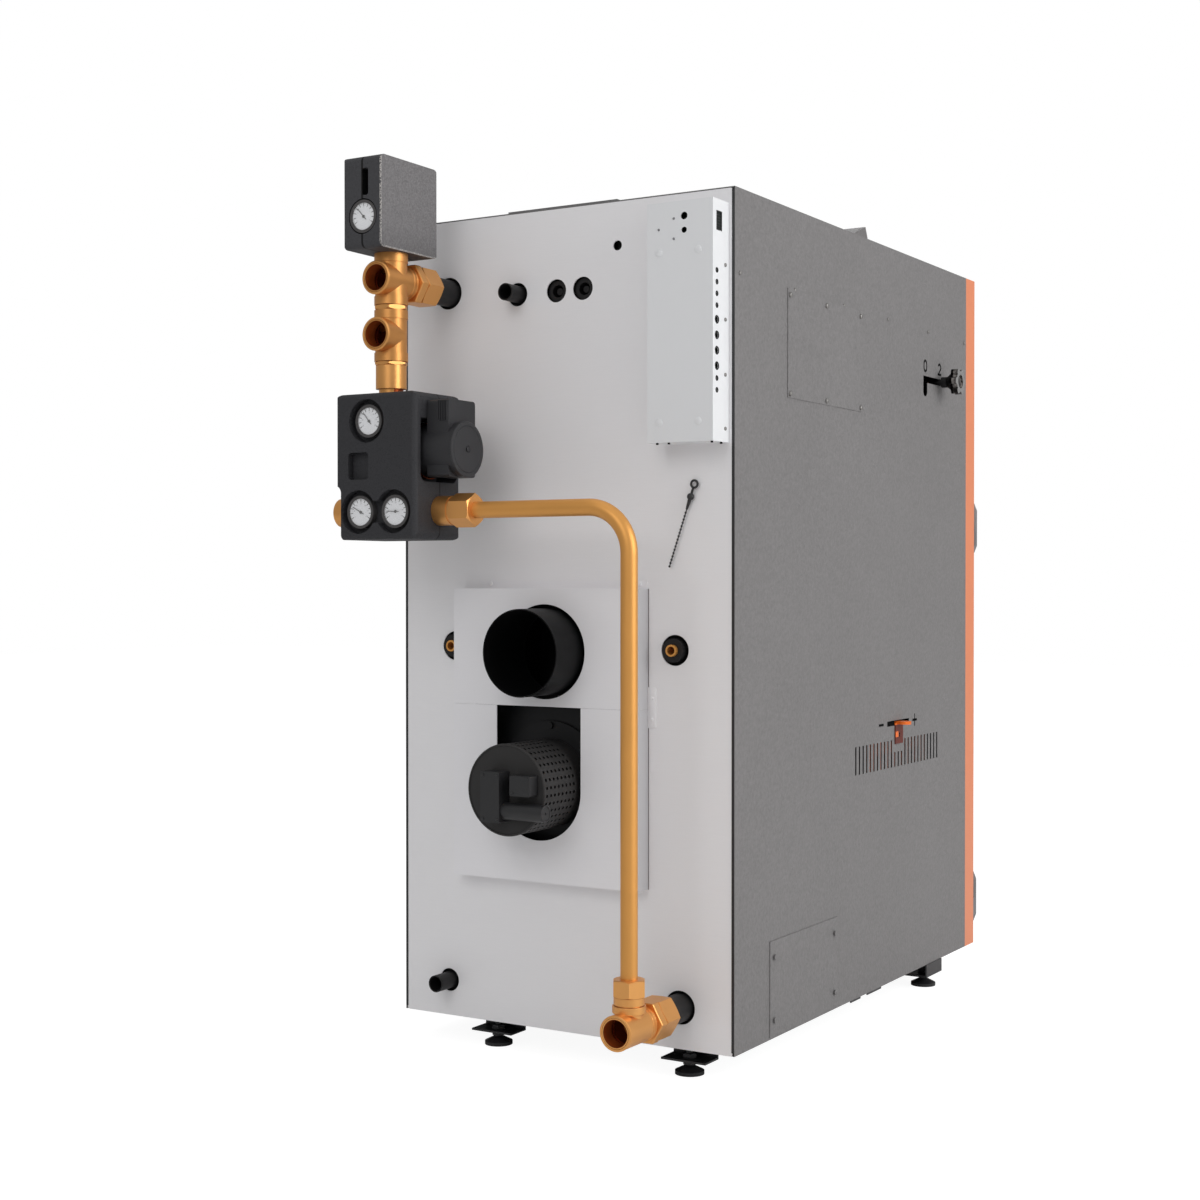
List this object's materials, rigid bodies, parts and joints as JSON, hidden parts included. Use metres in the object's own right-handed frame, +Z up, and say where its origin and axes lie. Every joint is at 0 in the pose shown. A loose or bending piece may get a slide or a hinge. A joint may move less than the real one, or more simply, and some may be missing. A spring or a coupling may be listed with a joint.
{
  "type": "solid fuel boiler",
  "caption": "Upright log boiler seen from its pipe side, with fan guard, flue spigot, pump group, safety group, side levers and a hinged front door.",
  "frame": {"origin": "on the floor, under the middle of the outer box", "axes": "+X to the right for someone who faces the doors; +Y out of the rear, where the pipes leave; +Z up"},
  "size_m": [0.731, 1.4306, 1.596],
  "materials": {
    "side_paint": "fine textured grey paint",
    "rear_sheet": "smooth light grey coated sheet",
    "white_sheet": "smooth white paint",
    "orange_paint": "satin orange paint",
    "black_steel": "black paint",
    "guard_steel": "dark coated perforated steel",
    "bare_steel": "zinc plated",
    "bezel_steel": "dark satin metal ring",
    "wheel_steel": "brushed",
    "vessel_steel": "dull welded plate with soot",
    "motor_alloy": "cast",
    "brass": "machined brass",
    "copper": "drawn copper pipe",
    "foam": "expanded bead foam, fine beads showing",
    "black_plastic": "moulded",
    "board": "circuit board",
    "dial_white": "printed dial",
    "needle_black": "matt black",
    "display_glass": "dark display window",
    "refractory": "cast refractory",
    "rope": "woven glass rope",
    "wool": "mineral wool"
  },
  "bodies": {
    "casing": {"base_frame": "black_steel", "levelling_feet": "black_steel", "lever_side_panel": "side_paint", "plain_side_panel": "side_paint", "rear_panel": "rear_sheet", "top_panel": "side_paint", "flue_cover_upper": "rear_sheet", "flue_cover_lower": "rear_sheet", "flue_spigot": "black_steel", "flue_box": "black_steel", "fan_plate": "black_steel", "fan_guard": "guard_steel", "fan_motor": "motor_alloy", "fan_terminal_box": "black_plastic", "electrical_box": "white_sheet", "control_board": "board", "bead_tie": "black_plastic", "service_plates": "side_paint", "front_frame": "orange_paint", "upper_front_panel": "side_paint", "door_fittings": "bare_steel", "console_housing": "side_paint", "console_display": "display_glass", "water_jacket": "vessel_steel", "fuel_chamber_liner": "vessel_steel", "nozzle_block": "refractory", "combustion_chamber": "refractory", "heat_exchanger": "vessel_steel", "turbulators": "vessel_steel", "safety_coil": "copper", "insulation_wrap": "wool", "water_stubs": "black_steel", "flow_cross": "brass", "riser_tee": "brass", "pipe_nuts": "brass", "pump_shell_front": "foam", "pump_shell_rear": "foam", "pump_body": "brass", "pump_head": "black_plastic", "gauge_bezels": "bezel_steel", "gauge_dials": "dial_white", "safety_shell": "foam", "copper_pipe": "copper", "return_tee": "brass"},
    "front_door": {"front_door": "side_paint", "door_liner": "refractory", "door_seal": "rope"},
    "door_handle": {"door_handle": "black_plastic"},
    "cleaning_lid": {"cleaning_lid": "side_paint"},
    "main_switch": {"main_switch": "black_plastic"},
    "kindling_rod": {"kindling_rod": "black_steel", "star_knob": "bare_steel"},
    "kindling_flap": {"kindling_flap": "vessel_steel"},
    "air_lever": {"air_lever": "orange_paint"},
    "fan_impeller": {"fan_impeller": "wheel_steel"},
    "pump_rotor": {"pump_rotor": "wheel_steel"},
    "riser_needle": {"riser_needle": "needle_black"},
    "inlet_needle": {"inlet_needle": "needle_black"},
    "outlet_needle": {"outlet_needle": "needle_black"},
    "pressure_needle": {"pressure_needle": "needle_black"}
  },
  "joints": [
    {"name": "front_door_hinge", "type": "hinge", "parent": "casing", "child": "front_door", "pos_m": [-0.3095, -0.68375, 0.05], "axis": [0, 0, -1], "range_deg": [0, 110]},
    {"name": "door_handle_turn", "type": "hinge", "parent": "front_door", "child": "door_handle", "pos_m": [0.2875, -0.66375, 0.65], "axis": [0, -1, 0], "range_deg": [0, 90]},
    {"name": "cleaning_lid_lift", "type": "slide", "parent": "casing", "child": "cleaning_lid", "axis": [0, 0, 1], "range_m": [0, 0.3]},
    {"name": "main_switch_rock", "type": "hinge", "parent": "casing", "child": "main_switch", "pos_m": [0.1275, -0.55451, 1.53164], "axis": [-1, 0, 0], "range_deg": [0, 16]},
    {"name": "kindling_rod_slide", "type": "slide", "parent": "casing", "child": "kindling_rod", "axis": [0, 1, 0], "range_m": [0, 0.079]},
    {"name": "kindling_flap_turn", "type": "hinge", "parent": "casing", "child": "kindling_flap", "pos_m": [0.0175, 0.00725, 1.31117], "axis": [1, 0, 0], "range_deg": [0, 60.01]},
    {"name": "air_lever_slide", "type": "slide", "parent": "casing", "child": "air_lever", "axis": [0, 1, 0], "range_m": [-0.045, 0.045]},
    {"name": "fan_spin", "type": "hinge", "parent": "casing", "child": "fan_impeller", "pos_m": [0.044, 0.46925, 0.481], "axis": [0, 1, 0], "continuous": true},
    {"name": "pump_spin", "type": "hinge", "parent": "casing", "child": "pump_rotor", "pos_m": [0.2575, 0.63725, 1.054], "axis": [1, 0, 0], "continuous": true},
    {"name": "riser_needle_turn", "type": "hinge", "parent": "casing", "child": "riser_needle", "pos_m": [0.2575, 0.69825, 1.104], "axis": [0, -1, 0], "range_deg": [-80, 160]},
    {"name": "inlet_needle_turn", "type": "hinge", "parent": "casing", "child": "inlet_needle", "pos_m": [0.2755, 0.69825, 0.95], "axis": [0, -1, 0], "range_deg": [-58, 182]},
    {"name": "outlet_needle_turn", "type": "hinge", "parent": "casing", "child": "outlet_needle", "pos_m": [0.2015, 0.69825, 0.95], "axis": [0, -1, 0], "range_deg": [-32, 208]},
    {"name": "pressure_needle_turn", "type": "hinge", "parent": "casing", "child": "pressure_needle", "pos_m": [0.2575, 0.71225, 1.448], "axis": [0, -1, 0], "range_deg": [-78, 162]}
  ],
  "couplings": [
    {"joint": "kindling_flap_turn", "follows": "kindling_rod_slide", "rad_per_m": 13.256}
  ]
}
